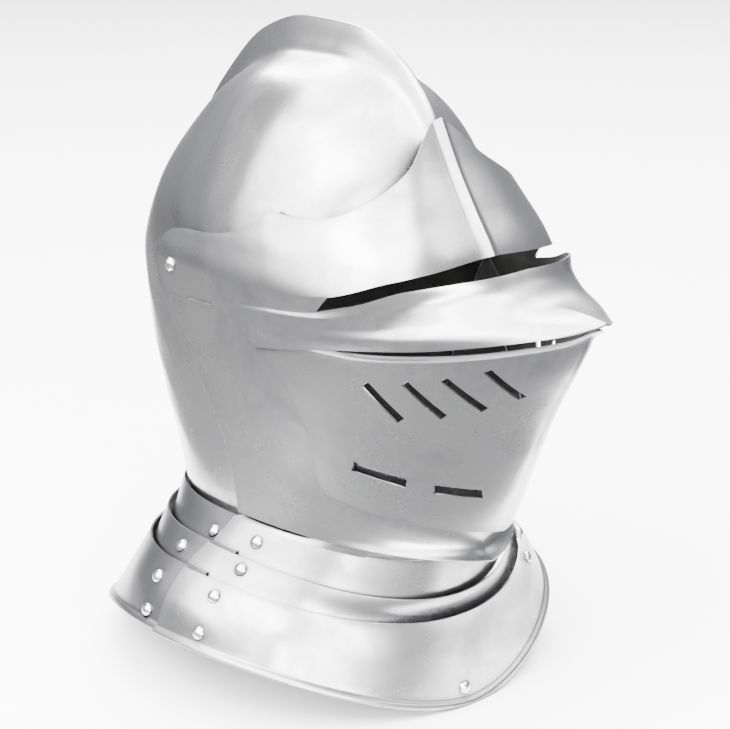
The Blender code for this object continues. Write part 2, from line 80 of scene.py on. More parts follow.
# The head's middle lies this far in front of the hinge, and every plate faces away from it.
CORE_SETBACK = 30.0
SKULL_ROUNDNESS = (2.3, 2.3, 2.75)
SKULL_HALF_WIDTH = 104.0
SKULL_MIDDLE = (
    # y, z of the dome at the middle plane, from the brow over the top to the nape
    (-126, 52),
    (-117, 72),
    (-101, 91),
    (-76, 106),
    (-45, 113),
    (-12, 112),
    (22, 102),
    (50, 80),
    (75, 51),
    (88, 18),
    (89, -18),
    (83, -55),
    (71, -90),
    (61, -119),
    (54, -148),
)
SKULL_LOWER_FRONT = (-46, -146)
SKULL_LOWER_REAR = (-34, -151)
SKULL_BROW_BOW = 24.0
SKULL_BROW_SHARE = 0.4
SKULL_TAPER = (
    # height, share of the half width
    (-150, 0.725),
    (-133, 0.745),
    (-100, 0.768),
    (-75, 0.8),
    (-50, 0.845),
    (-20, 0.912),
    (0, 0.965),
    (40, 1.0),
    (115, 1.0),
)
SKULL_RIBS = 110
SKULL_COMB_SHARE = 0.09
SKULL_COMB_COLUMNS = 20
SKULL_SIDE_SHARE = 0.8
SKULL_SIDE_COLUMNS = 34
SKULL_LOWER_COLUMNS = 34
COMB_HEIGHT = (
    # direction from the hinge in degrees above the rear, height
    (-30, 0.0),
    (-5, 2.0),
    (15, 8.0),
    (35, 14.0),
    (60, 18.0),
    (90, 22.0),
    (115, 21.0),
    (135, 14.0),
    (150, 8.0),
    (165, 6.0),
)
COMB_PROFILE = (
    # distance from the middle plane, share of the comb's height
    (0.0, 1.0),
    (1.0, 0.985),
    (1.9, 0.93),
    (2.6, 0.84),
    (3.4, 0.7),
    (5.0, 0.42),
    (8.0, 0.2),
    (12.0, 0.08),
    (19.0, 0.02),
    (28.0, 0.0),
)


def curve(table, positions):
    """Smooth monotone curve through the first two columns of a table, at an array of positions."""
    xs = np.array([row[0] for row in table], float)
    ys = np.array([row[1] for row in table], float)
    positions = np.clip(np.asarray(positions, float), xs[0], xs[-1])
    steps = np.diff(xs)
    slopes = np.diff(ys) / steps
    before = slopes[:-1]
    after = slopes[1:]
    turning = before * after > 0
    tangents = np.zeros(len(xs))
    tangents[1:-1][turning] = 2 * (before * after)[turning] / (before + after)[turning]
    tangents[0] = slopes[0]
    tangents[-1] = slopes[-1]
    i = np.clip(np.searchsorted(xs, positions, side="right") - 1, 0, len(xs) - 2)
    u = (positions - xs[i]) / steps[i]
    start = (1 + 2 * u) * (1 - u) ** 2 * ys[i] + u * (1 - u) ** 2 * steps[i] * tangents[i]
    end = u * u * (3 - 2 * u) * ys[i + 1] - u * u * (1 - u) * steps[i] * tangents[i + 1]
    return start + end


def spread(values):
    """A table that spreads values evenly from 0 to 1."""
    return tuple((i / (len(values) - 1), value) for i, value in enumerate(values))


def linear(code):
    """An sRGB hex colour as linear values."""
    parts = [int(code[i : i + 2], 16) / 255 for i in (1, 3, 5)]
    return tuple(p / 12.92 if p <= 0.04045 else ((p + 0.055) / 1.055) ** 2.4 for p in parts) + (1.0,)


def add_node(tree, kind, settings=None, links=None, inputs=None):
    """A node with its settings, input values and links from other sockets."""
    node = tree.nodes.new(kind)
    for key, value in (settings or {}).items():
        setattr(node, key, value)
    for key, value in (inputs or {}).items():
        node.inputs[key].default_value = value
    for key, socket in (links or {}).items():
        tree.links.new(socket, node.inputs[key])
    return node


def polished_steel(name, pale, worn_and_shaded, smooth_gloss, rough_gloss):
    """Ground and polished mild steel: fine polishing lines, soft hammer waves and grey smears, with grey
    tarnish and painted shade along the plates' edges and painted shade in the narrow gaps.
    """
    material = bpy.data.materials.new(name)
    material.use_nodes = True
    tree = material.node_tree
    shader = tree.nodes["Principled BSDF"]
    shader.inputs["Metallic"].default_value = 1.0
    place = add_node(tree, "ShaderNodeTexCoord").outputs["Object"]
    # Smears of old oil and handling, patches 30 to 80 mm across.
    smear = add_node(
        tree,
        "ShaderNodeTexNoise",
        inputs={"Scale": 17.0, "Detail": 7.0, "Roughness": 0.62, "Distortion": 0.6},
        links={"Vector": place},
    )
    smear_share = add_node(
        tree,
        "ShaderNodeMapRange",
        inputs={"From Min": 0.42, "From Max": 0.72, "To Min": 0.0, "To Max": 0.75},
        links={"Value": smear.outputs["Fac"]},
    )
    # Grey tarnish and painted shade along the plates' edges, where the seams' shade falls, broken up by
    # the smears' fine end.
    edge = add_node(tree, "ShaderNodeAttribute", settings={"attribute_name": "seam"})
    broken = add_node(
        tree,
        "ShaderNodeTexNoise",
        inputs={"Scale": 95.0, "Detail": 5.0, "Roughness": 0.6},
        links={"Vector": place},
    )
    edge_tarnish_and_shade = add_node(
        tree,
        "ShaderNodeMath",
        settings={"operation": "MULTIPLY"},
        links={0: edge.outputs["Fac"], 1: broken.outputs["Fac"]},
    )
    smears_and_edge_shade = add_node(
        tree,
        "ShaderNodeMath",
        settings={"operation": "MAXIMUM"},
        links={0: smear_share.outputs["Result"], 1: edge_tarnish_and_shade.outputs["Value"]},
    )
    colour = add_node(
        tree,
        "ShaderNodeMix",
        settings={"data_type": "RGBA"},
        inputs={6: linear(pale), 7: linear(worn_and_shaded)},
        links={0: smears_and_edge_shade.outputs["Value"]},
    )
    # Painted shade with some grease: ambient occlusion darkens the colour to near black in the narrow
    # gaps, under plate edges and round the rivet heads, where contact shadows fall.
    shelter = add_node(
        tree,
        "ShaderNodeAmbientOcclusion",
        settings={"samples": 8},
        inputs={"Distance": 0.004},
    )
    gap_shade_and_grease = add_node(
        tree,
        "ShaderNodeMapRange",
        inputs={"From Min": 0.5, "From Max": 0.97, "To Min": 1.0, "To Max": 0.0},
        links={"Value": shelter.outputs["AO"]},
    )
    gap_shaded_colour = add_node(
        tree,
        "ShaderNodeMix",
        settings={"data_type": "RGBA"},
        inputs={7: linear("#1d1c1b")},
        links={0: gap_shade_and_grease.outputs["Result"], 6: colour.outputs[2]},
    )
    tree.links.new(gap_shaded_colour.outputs[2], shader.inputs["Base Color"])
    gloss = add_node(
        tree,
        "ShaderNodeMapRange",
        inputs={"From Min": 0.0, "From Max": 0.8, "To Min": smooth_gloss, "To Max": rough_gloss},
        links={"Value": smears_and_edge_shade.outputs["Value"]},
    )
    tree.links.new(gloss.outputs["Result"], shader.inputs["Roughness"])
    # Polishing lines about 0.8 mm apart and 30 mm long, coarser than the real ones so that they show.
    lines_place = add_node(
        tree,
        "ShaderNodeMapping",
        inputs={"Scale": (35.0, 35.0, 1250.0), "Rotation": (0.25, 0.18, 0.0)},
        links={"Vector": place},
    )
    lines = add_node(
        tree,
        "ShaderNodeTexNoise",
        inputs={"Scale": 1.0, "Detail": 3.0, "Roughness": 0.7},
        links={"Vector": lines_place.outputs["Vector"]},
    )
    lines_bump = add_node(
        tree,
        "ShaderNodeBump",
        inputs={"Strength": 0.05, "Distance": 0.0002},
        links={"Height": lines.outputs["Fac"]},
    )
    # Shallow planishing marks left by the hammer, 12 to 25 mm across.
    waves = add_node(
        tree,
        "ShaderNodeTexNoise",
        inputs={"Scale": 42.0, "Detail": 2.0, "Roughness": 0.45},
        links={"Vector": place},
    )
    waves_bump = add_node(
        tree,
        "ShaderNodeBump",
        inputs={"Strength": 0.35, "Distance": 0.0008},
        links={"Height": waves.outputs["Fac"], "Normal": lines_bump.outputs["Normal"]},
    )
    tree.links.new(waves_bump.outputs["Normal"], shader.inputs["Normal"])
    return material


# Painted shade inside the plates: a dull, patchy grey-black that swallows light, so the slits and gaps
# read black.
inner_shade_black = bpy.data.materials.new("inner_painted_shade")
inner_shade_black.use_nodes = True
inner_shader = inner_shade_black.node_tree.nodes["Principled BSDF"]
inner_shader.inputs["Metallic"].default_value = 0.0
inner_shader.inputs["Roughness"].default_value = 0.65
inner_patches = add_node(
    inner_shade_black.node_tree,
    "ShaderNodeTexNoise",
    inputs={"Scale": 40.0, "Detail": 6.0},
    links={"Vector": add_node(inner_shade_black.node_tree, "ShaderNodeTexCoord").outputs["Object"]},
)
inner_colour = add_node(
    inner_shade_black.node_tree,
    "ShaderNodeMix",
    settings={"data_type": "RGBA"},
    inputs={6: linear("#161616"), 7: linear("#3a3938")},
    links={0: inner_patches.outputs["Fac"]},
)
inner_shade_black.node_tree.links.new(inner_colour.outputs[2], inner_shader.inputs["Base Color"])

# Mirror-ground mild steel gone satin with handling: pale grey-white with soft broad reflections.
bright_steel = polished_steel("polished_mild_steel", "#b4b4b6", "#6c6c70", 0.25, 0.4)


def seam_nearness(grid, reach):
    """How near each place of a half plate is to its outer edges, from 1 at an edge to 0 far away."""
    down = np.linalg.norm(np.diff(grid, axis=0), axis=2)
    around = np.linalg.norm(np.diff(grid, axis=1), axis=2)
    from_top = np.vstack([np.zeros(grid.shape[1]), np.cumsum(down, axis=0)])
    from_bottom = from_top[-1] - from_top
    from_middle = np.hstack([np.zeros((grid.shape[0], 1)), np.cumsum(around, axis=1)])
    from_end = from_middle[:, -1:] - from_middle
    nearest = np.minimum(np.minimum(from_top, from_bottom), from_end)
    return np.exp(-nearest / reach)


def sheet_metal(name, grid, material, open_faces=None, cutter=None):
    """A whole plate with thickness and rounded edges, from a grid of places in mm on its right half.

    The grid's first column is joined to the mirrored left half, and its other three sides are edges.
    """
    rows, columns = grid.shape[:2]
    left = grid[:, :0:-1] * np.array((-1.0, 1.0, 1.0))
    whole = np.concatenate([left, grid], axis=1)
    near = seam_nearness(grid, SEAM_REACH)
    near = np.concatenate([near[:, :0:-1], near], axis=1)
    width = whole.shape[1]
    faces = []
    for k in range(rows - 1):
        for i in range(width - 1):
            half_column = i - (columns - 1) if i >= columns - 1 else columns - 2 - i
            if open_faces is not None and open_faces(k, half_column):
                continue
            a = k * width + i
            faces.append((a, a + 1, a + width + 1, a + width))
    mesh = bpy.data.meshes.new(name)
    places = whole.reshape(-1, 3) * MM + np.array(HINGE)
    mesh.from_pydata(places.tolist(), [], faces)
    # The edge nearness drives the grey tarnish and painted shade in the steel.
    mark = mesh.attributes.new("seam", "FLOAT", "POINT")
    mark.data.foreach_set("value", near.reshape(-1).astype(np.float32))
    built = bmesh.new()
    built.from_mesh(mesh)
    bmesh.ops.recalc_face_normals(built, faces=built.faces)
    middle = built.faces[(rows // 2) * (width - 1) // 2]
    outward = middle.calc_center_median() - Vector((0.0, HINGE.y - CORE_SETBACK * MM, 0.0))
    outward.z = 0.0
    if middle.normal.dot(outward) < 0:
        bmesh.ops.reverse_faces(built, faces=built.faces)
    built.to_mesh(mesh)
    built.free()
    piece = bpy.data.objects.new(name, mesh)
    bpy.context.scene.collection.objects.link(piece)
    mesh.materials.append(material)
    mesh.shade_smooth()
    solid = piece.modifiers.new("sheet", "SOLIDIFY")
    solid.thickness = SHEET * MM
    solid.offset = -1.0
    # The inner faces take the near-black painted shade.
    mesh.materials.append(inner_shade_black)
    solid.material_offset = 1
    solid.material_offset_rim = 0
    if cutter is not None:
        cut = piece.modifiers.new("cut", "BOOLEAN")
        cut.operation = "DIFFERENCE"
        cut.solver = "EXACT"
        cut.object = cutter
    rounding = piece.modifiers.new("edge", "BEVEL")
    rounding.width = EDGE_ROUNDING * MM
    rounding.segments = 2
    rounding.limit_method = "ANGLE"
    rounding.angle_limit = math.radians(EDGE_ANGLE)
    rounding.harden_normals = True
    return settled(piece)


def settled(piece):
    """The piece with its modifiers made into plain mesh, and no corner of it below the floor."""
    depsgraph = bpy.context.evaluated_depsgraph_get()
    final = bpy.data.meshes.new_from_object(piece.evaluated_get(depsgraph))
    for vertex in final.vertices:
        vertex.co.z = max(vertex.co.z, 0.0)
    piece.modifiers.clear()
    piece.data = final
    return piece


ribs = np.linspace(0.0, 1.0, SKULL_RIBS)[:, None]
stations = spread([row[0] for row in SKULL_MIDDLE])
top_y = curve(stations, ribs)
top_z = curve(spread([row[1] for row in SKULL_MIDDLE]), ribs)
low_y = SKULL_LOWER_FRONT[0] + (SKULL_LOWER_REAR[0] - SKULL_LOWER_FRONT[0]) * ribs
low_z = SKULL_LOWER_FRONT[1] + (SKULL_LOWER_REAR[1] - SKULL_LOWER_FRONT[1]) * ribs
power = curve(spread(SKULL_ROUNDNESS), ribs)
comb_shares = np.linspace(0, SKULL_COMB_SHARE, SKULL_COMB_COLUMNS)
side_shares = np.linspace(SKULL_COMB_SHARE, SKULL_SIDE_SHARE, SKULL_SIDE_COLUMNS)
shares = np.concatenate([comb_shares, side_shares[1:]])[None, :]
upper_drops = 1 - (1 - shares**power) ** (1 / power)
lower_shares = np.linspace(0, 1, SKULL_LOWER_COLUMNS)[None, 1:]
lower_drops = upper_drops[:, -1:] + (1 - upper_drops[:, -1:]) * lower_shares
drops = np.concatenate([upper_drops, lower_drops], axis=1)
bow = SKULL_BROW_BOW * np.maximum(0.0, 1 - ribs / SKULL_BROW_SHARE)
skull_y = top_y + (low_y - top_y) * drops + bow * np.sin(math.pi * drops)
skull_z = top_z + (low_z - top_z) * drops
skull_x = SKULL_HALF_WIDTH * (1 - (1 - drops) ** power) ** (1 / power) * curve(SKULL_TAPER, skull_z)
direction = np.arctan2(skull_z, skull_y)
direction[direction < -math.pi / 2] += 2 * math.pi
comb = curve(COMB_HEIGHT, np.degrees(direction)) * curve(COMB_PROFILE, skull_x)
skull_grid = np.stack(
    [-skull_x, skull_y + comb * np.cos(direction), skull_z + comb * np.sin(direction)], axis=2
)
skull = sheet_metal("skull_bowl", skull_grid, bright_steel)
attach(skull, "skull_body")
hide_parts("skull")

# Visor: one steel plate across the brow and the prow, hammered to a narrow ridge down the middle and a
# stepped, pointed prow, with a sight slit cut between them and the same bright polish as the skull. Its
# rounded arms hang on the temple rivets, and it turns up over the brow.

BACK_REACH = 120.0
HALF_WIDTH = (
    # height, half width of the helmet's outermost plate
    (-160, 86.0),
    (-140, 86.5),
    (-110, 88.0),
    (-75, 91.0),
    (-40, 94.0),
    (0, 95.0),
    (19, 92.0),
    (42, 86.0),
    (65, 77.0),
    (90, 62.0),
)
VISOR_ROUNDNESS = (2.8, 3.3)
VISOR_FRONT = (
    # height, distance of the visor's face in front of the hinge
    (-20, 172.0),
    (0, 168.0),
    (19, 161.0),
    (42, 146.0),
    (65, 131.5),
    (90, 118.5),
    (100, 113.0),
)
VISOR_TOP_EDGE = (
    # angle round from the middle plane, height
    (0, 90),
    (5, 80),
    (11, 68),
    (18, 60),
    (26, 53),
    (34, 47),
    (40, 43),
    (47, 40.6),
    (54, 41.0),
    (58.5, 42.2),
    (60.3, 44.0),
    (61.6, 41.6),
    (65, 34),
    (69, 29),
    (74, 25.5),
    (80, 23),
    (88, 21.5),
    (93, 17.5),
    (96, 11),
)
# The sight slit's upper side: front y, rear y, heights at even steps round.
VISOR_SIGHT = (-161, 16, (19, 13, 1.4, -2, 0))
VISOR_LOWER = (
    # front y, rear y, heights at even steps round, plan exponents
    (-190, 10, (18, 16, 11, -0.8, -8, -10, -12, -13.5, -15), (2.8, 2.5)),
    (-196, -5, (9.5, 8.5, 5.2, -3.7, -9.7, -11.8, -14, -16, -17.5), (2.5, 2.3)),
    (-211, -30, (2.5, 1.8, -0.7, -7.5, -12.8, -15.4, -17.5, -18, -17), (2.4, 1.95)),
    (-231, -50, (2, -0.9, -5.2, -11.1, -16.3, -19.4, -22, -23.5, -21), (2.3, 1.7)),
    (-247, -67, (0.5, -3.2, -8.5, -14.2, -19.5, -23.2, -26.5, -31, -35), (2.2, 1.4)),
)
SIGHT_END_SHARE = 8 / 18
VISOR_TURN = (
    # share of the columns, share of the turn from the middle plane to the rear edge
    (0.0, 0.0),
    (SIGHT_END_SHARE, 0.556),
    (1.0, 1.0),
)
RIDGE_HEIGHT = 4.0
# Distance from the middle plane, share of the ridge's height.
RIDGE_PROFILE = ((0.0, 1.0), (0.8, 0.95), (1.6, 0.72), (2.6, 0.38), (3.8, 0.12), (5.5, 0.0))
RIDGE_LIFT = 0.35
VISOR_UPPER_BANDS = 30
VISOR_LOWER_BANDS = 56
VISOR_RIDGE_SHARE = 0.05
VISOR_RIDGE_COLUMNS = 12
VISOR_SIGHT_COLUMNS = 34
VISOR_ARM_COLUMNS = 44


def plan_place(angle, reach, half_width, front_power, front_root):
    """Outward x and y of a plate's plan at angles round from the front."""
    forward = np.cos(angle)
    ahead = np.clip(forward, 0.0, 1.0)
    y = np.where(forward >= 0, -reach * forward, -BACK_REACH * forward)
    x_front = half_width * np.clip(1 - ahead**front_power, 0, 1) ** (1 / front_root)
    x_rear = half_width * np.sqrt(np.clip(1 - forward * forward, 0, 1))
    return -np.where(forward >= 0, x_front, x_rear), y


def end_angle(reach, rear_y):
    """Angle at which a plate's plan reaches its rear edge."""
    ahead = np.arccos(np.clip(-rear_y / reach, 0.0, 1.0))
    return np.where(rear_y > 0, math.pi / 2 + np.arcsin(np.clip(rear_y / BACK_REACH, 0, 1)), ahead)


def face_grid(rows, bands, shares, inset, turn=((0.0, 0.0), (1.0, 1.0))):
    """Places of a face plate between rows given by front y, rear y, heights and plan exponents."""
    down = np.linspace(0.0, 1.0, bands)[:, None]
    front_y = curve(spread([row[0] for row in rows]), down)
    rear_y = curve(spread([row[1] for row in rows]), down)
    front_power = curve(spread([row[3][0] for row in rows]), down)
    front_root = curve(spread([row[3][1] for row in rows]), down)
    count = len(rows[0][2])
    posts = np.hstack([curve(spread([row[2][k] for row in rows]), down) for k in range(count)])
    z = np.vstack([curve(spread(list(post)), shares) for post in posts])
    angle = curve(turn, shares)[None, :] * end_angle(-front_y, rear_y)
    x, y = plan_place(angle, -front_y, curve(HALF_WIDTH, z) - inset, front_power, front_root)
    return np.stack([x, y, z], axis=2)


visor_shares = np.concatenate(
    [
        np.linspace(0, VISOR_RIDGE_SHARE, VISOR_RIDGE_COLUMNS),
        np.linspace(VISOR_RIDGE_SHARE, SIGHT_END_SHARE, VISOR_SIGHT_COLUMNS)[1:],
        np.linspace(SIGHT_END_SHARE, 1, VISOR_ARM_COLUMNS)[1:],
    ]
)
sight_columns = VISOR_RIDGE_COLUMNS + VISOR_SIGHT_COLUMNS - 2
down = np.linspace(0.0, 1.0, VISOR_UPPER_BANDS)[:, None]
sight_end = float(np.degrees(end_angle(-VISOR_SIGHT[0], VISOR_SIGHT[1])))
top_end = VISOR_TOP_EDGE[-1][0]
last_angle = top_end + (sight_end - top_end) * np.sin(down * math.pi / 2)
edge_z = curve(VISOR_TOP_EDGE, visor_shares * top_end)[None, :]
brow_z = edge_z + (curve(spread(VISOR_SIGHT[2]), visor_shares)[None, :] - edge_z) * down
brow_angle = np.radians(visor_shares[None, :] * last_angle)
brow_power = curve(spread(VISOR_ROUNDNESS), down)
brow_x, brow_y = plan_place(
    brow_angle, curve(VISOR_FRONT, brow_z), curve(HALF_WIDTH, brow_z), brow_power, brow_power
)
ridge = RIDGE_HEIGHT * curve(RIDGE_PROFILE, -brow_x)
brow_y = brow_y - ridge
brow_z = brow_z + RIDGE_LIFT * ridge * down
prow_grid = face_grid(VISOR_LOWER, VISOR_LOWER_BANDS, visor_shares, 0.0, VISOR_TURN)
visor_grid = np.concatenate([np.stack([brow_x, brow_y, brow_z], axis=2), prow_grid], axis=0)
visor = sheet_metal(
    "visor_plate",
    visor_grid,
    bright_steel,
    open_faces=lambda k, i: k == VISOR_UPPER_BANDS - 1 and i < sight_columns,
)
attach(visor, "visor_body")
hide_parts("visor")

# Ventail: the keeled steel plate over nose and mouth, under the visor. Its upper edge is turned out to a
# rounded lip, six breaths are chiselled through each side and it is polished bright. It hangs on the
# same rivets, between visor and bevor.

LAYER_STEP = 1.7
VENTAIL_KEEL = (
    # height, distance of the keel in front of the hinge
    (-136, 176.0),
    (-116, 185.0),
    (-88, 197.0),
    (-69, 205.0),
    (-50, 215.0),
    (-28, 228.0),
    (-12, 235.0),
    (10, 240.0),
)
VENTAIL_LOWER_EDGE = (
    # y, z from the chin's middle round the lower edge, up the rear edge and back along the arm
    (-176, -136),
    (-164, -134),
    (-150, -131),
    (-132, -127),
    (-116, -122),
    (-105, -118),
    (-100, -111),
    (-98, -100),
    (-97, -88),
    (-94, -76),
    (-90, -66),
    (-84, -54),
    (-76, -45),
    (-66, -36),
    (-57, -25),
    (-45, -14),
    (-20, -12),
    (6, -11),
)
VENTAIL_UPPER_EDGE = (
    # y, z from the middle round under the prow and back along the arm
    (-235, -12),
    (-228, -17),
    (-205, -24),
    (-170, -31),
    (-130, -35),
    (-98, -32),
    (-45, 3),
    (6, 8),
)
# The lip's forward reach, rise and sideways spread, each against the share of its breadth, and the share
# of them that is left on the way round to the arm.
LIP_REACH = ((0.0, 0.0), (0.3, 2.0), (0.6, 5.2), (0.85, 7.6), (1.0, 8.0))
LIP_RISE = ((0.0, 0.0), (0.3, 3.4), (0.6, 5.6), (0.85, 6.9), (1.0, 7.2))
LIP_SPREAD = ((0.0, 0.0), (0.4, 0.5), (0.75, 1.6), (1.0, 2.2))
LIP_FADE = ((0.0, 1.0), (0.62, 1.0), (0.78, 0.2), (1.0, 0.2))
VENTAIL_EXPONENTS = (2.2, 1.4)
BREATHS = (
    # start y, start z, end y, end z, width
    (-135, -45, -150.5, -65, 5.2),
    (-156.5, -41.5, -171.5, -60.5, 4.6),
    (-176.5, -37, -190, -54.5, 4.4),
    (-197, -30, -206, -46.5, 4.2),
    (-120.5, -97, -147, -104, 6.2),
    (-158.5, -106.5, -177.5, -109, 5.6),
)
BREATH_NEAR_X = 6.0
BREATH_FAR_X = 110.0
VENTAIL_COLUMNS = 110
VENTAIL_BANDS = 46
LIP_BANDS = 12

ventail_shares = np.linspace(0.0, 1.0, VENTAIL_COLUMNS)


def edge_place(edge):
    """Angle round from the front and height of a side-view edge, at the plate's shares."""
    y = curve(spread([row[0] for row in edge]), ventail_shares)
    z = curve(spread([row[1] for row in edge]), ventail_shares)
    return end_angle(curve(VENTAIL_KEEL, z), y), z


low_angle, low_edge_z = edge_place(VENTAIL_LOWER_EDGE)
high_angle, high_edge_z = edge_place(VENTAIL_UPPER_EDGE)
up = np.concatenate([np.linspace(0.0, 1.0, VENTAIL_BANDS), np.ones(LIP_BANDS)])[:, None]
lip = np.concatenate([np.zeros(VENTAIL_BANDS), np.linspace(0.0, 1.0, LIP_BANDS + 1)[1:]])[:, None]
fade = curve(LIP_FADE, ventail_shares)[None, :]
ventail_angle = low_angle + (high_angle - low_angle) * up
ventail_z = low_edge_z + (high_edge_z - low_edge_z) * up
ventail_reach = curve(VENTAIL_KEEL, ventail_z) + curve(LIP_REACH, lip) * fade
ventail_z = ventail_z + curve(LIP_RISE, lip) * fade
ventail_half = curve(HALF_WIDTH, ventail_z) - LAYER_STEP + curve(LIP_SPREAD, lip) * fade
ventail_x, ventail_y = plan_place(ventail_angle, ventail_reach, ventail_half, *VENTAIL_EXPONENTS)
built = bmesh.new()
for start_y, start_z, end_y, end_z, width in BREATHS:
    long = math.hypot(end_y - start_y, end_z - start_z)
    turn = math.atan2(end_z - start_z, end_y - start_y)
    for side in (-1, 1):
        middle_x = side * (BREATH_NEAR_X + BREATH_FAR_X) / 2
        middle = Vector((middle_x, (start_y + end_y) / 2, (start_z + end_z) / 2))
        spot = Matrix.Translation(HINGE + middle * MM) @ Matrix.Rotation(turn, 4, "X")
        size = Matrix.Diagonal(((BREATH_FAR_X - BREATH_NEAR_X) * MM, long * MM, width * MM, 1.0))
        bmesh.ops.create_cube(built, matrix=spot @ size)
breath_mesh = bpy.data.meshes.new("breath_bars")
built.to_mesh(breath_mesh)
built.free()
breath_bars = bpy.data.objects.new("breath_bars", breath_mesh)
bpy.context.scene.collection.objects.link(breath_bars)
ventail = sheet_metal(
    "ventail_plate",
    np.stack([ventail_x, ventail_y, ventail_z], axis=2),
    bright_steel,
    cutter=breath_bars,
)
bpy.data.objects.remove(breath_bars, do_unlink=True)
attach(ventail, "ventail_body")
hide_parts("ventail")

# Bevor: the innermost face plate, over cheeks and chin, bent from polished sheet steel with a small
# out-turned flange at its lower edge. It hangs on the temple rivets, carries the front neck lames and
# swings up with them.

# A little more than the layers' step, so that the ventail's arm turns clear of it.
BEVOR_EASE = 0.25
BEVOR_INSET = 2 * LAYER_STEP + BEVOR_EASE
BEVOR_EXPONENTS = (2.3, 1.7)
BEVOR_ROWS = (
    # front y, rear y, heights at even steps round, plan exponents
    (-173, 6, (-112, -66, 17), BEVOR_EXPONENTS),
    (-171, 19, (-118, -76, 4), BEVOR_EXPONENTS),
    (-169, 17, (-124, -88, -12), BEVOR_EXPONENTS),
    (-166, 6, (-131, -99, -29), BEVOR_EXPONENTS),
    (-163, -4, (-137, -111, -46), BEVOR_EXPONENTS),
    (-161, -17, (-142, -122, -66), BEVOR_EXPONENTS),
    (-160, -28, (-147, -131, -88), BEVOR_EXPONENTS),
    (-161, -35, (-151, -139, -111), BEVOR_EXPONENTS),
    (-164, -39, (-154, -146, -132), BEVOR_EXPONENTS),
    (-168, -40, (-156, -150, -143), BEVOR_EXPONENTS),
)
BEVOR_COLUMNS = 90
BEVOR_BANDS = 64
bevor_grid = face_grid(BEVOR_ROWS, BEVOR_BANDS, np.linspace(0.0, 1.0, BEVOR_COLUMNS), BEVOR_INSET)
bevor = sheet_metal("bevor_plate", bevor_grid, bright_steel)
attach(bevor, "bevor_body")
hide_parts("bevor")

# Neck lames: three overlapping steel hoops at the front, riveted to the bevor, and three at the rear,
# riveted to the skull. The lowest ones flare over the shoulders and end in a rolled rim. The front hoops
# are polished bright, and the rear ones are painted darker as painted shade on the helmet's rear.

GORGET_RINGS = (
    # z at side, z at front, z at rear, half width, front y, rear y, centre y,
    # plan exponent and root at the front, plan exponent at the rear, height exponent at the front
    (-146, -161, -143, 79.1, -137, 57.5, -33, 2.2, 1.95, 2.6, 2.0),
    (-160, -183, -163, 89.0, -137, 64, -26, 2.3, 2.0, 2.2, 2.0),
    (-172, -196, -179, 99.5, -133.5, 69, -20, 2.3, 2.05, 1.95, 2.2),
    (-189, -222, -214, 111.5, -137.5, 90, -17, 2.7, 1.85, 1.8, 3.0),
    (-209, -250, -250, 119.0, -143, 116, -15, 3.1, 1.7, 1.75, 3.8),
)
RIM_SWELL = (
    # level down the rings, outward swell of the rolled rim
    (3.7, 0.0),
    (3.79, 0.1),
    (3.82, 0.9),
    (3.85, 1.9),
    (3.89, 2.4),
    (3.94, 2.45),
    (3.98, 1.9),
    (4.0, 1.2),
)
HOOP_BANDS = 26
FLARE_BANDS = 30
FLARE_END = 3.74
RIM_BANDS = 22
RIM_START = 3.75
RIM_LEVEL = 4
HOOP_COLUMNS = 90
# The row of the bevor at the waist of its neck, behind which the first front lame is tucked.
NECK_ROW = 6
NECK_BANDS = 8
TUCK_RISES = (8.0, -0.8)
TUCK_GAP = SHEET + 0.4
TUCK_SETBACK = 3.0
LAMES = (
    # name, first and last level down the rings, first and last angle round, offset outwards, body
    ("front_lame_1", 0, 1.35, 0, 88, 2.4, "bevor_body"),
    ("front_lame_2", 1, 2.6, 0, 88, 7.0, "bevor_body"),
    ("front_lame_3", 2, 4, 0, 86.5, 11.9, "bevor_body"),
    ("rear_lame_1", 0, 1.65, 85, 180, 0.0, "skull_body"),
    ("rear_lame_2", 1, 2.6, 77, 180, 4.6, "skull_body"),
    ("rear_lame_3", 2, 4, 79, 180, 9.0, "skull_body"),
)
# The same steel with painted shade for the rear lames: a darker colour, and duller.
rear_shaded_steel = polished_steel("rear_steel_painted_shade", "#88888b", "#5c5c5f", 0.3, 0.44)


def ring_grid(levels, angles, offsets):
    """Places on the neck rings at levels down, angles round and outward offsets."""
    rings = np.array(GORGET_RINGS, float)
    ring = [curve(tuple(enumerate(rings[:, k])), levels)[:, None] for k in range(rings.shape[1])]
    side_z, front_z, rear_z, half_width, front_y, rear_y, centre_y = ring[:7]
    front_power, front_root, rear_power, height_power = ring[7:]
    forward = np.cos(angles)[None, :]
    away = np.clip(np.abs(forward), 0, 1)
    offset = offsets[:, None]
    ahead = forward >= 0
    y = np.where(
        ahead,
        centre_y - (centre_y - front_y + offset) * away,
        centre_y + (rear_y - centre_y + offset) * away,
    )
    z = side_z + np.where(ahead, (front_z - side_z) * away**height_power, (rear_z - side_z) * away**2)
    x_front = np.clip(1 - away**front_power, 0, 1) ** (1 / front_root)
    x_rear = np.clip(1 - away**rear_power, 0, 1) ** (1 / rear_power)
    x = (half_width + offset) * np.where(ahead, x_front, x_rear)
    return np.stack([-x, y, z], axis=2)


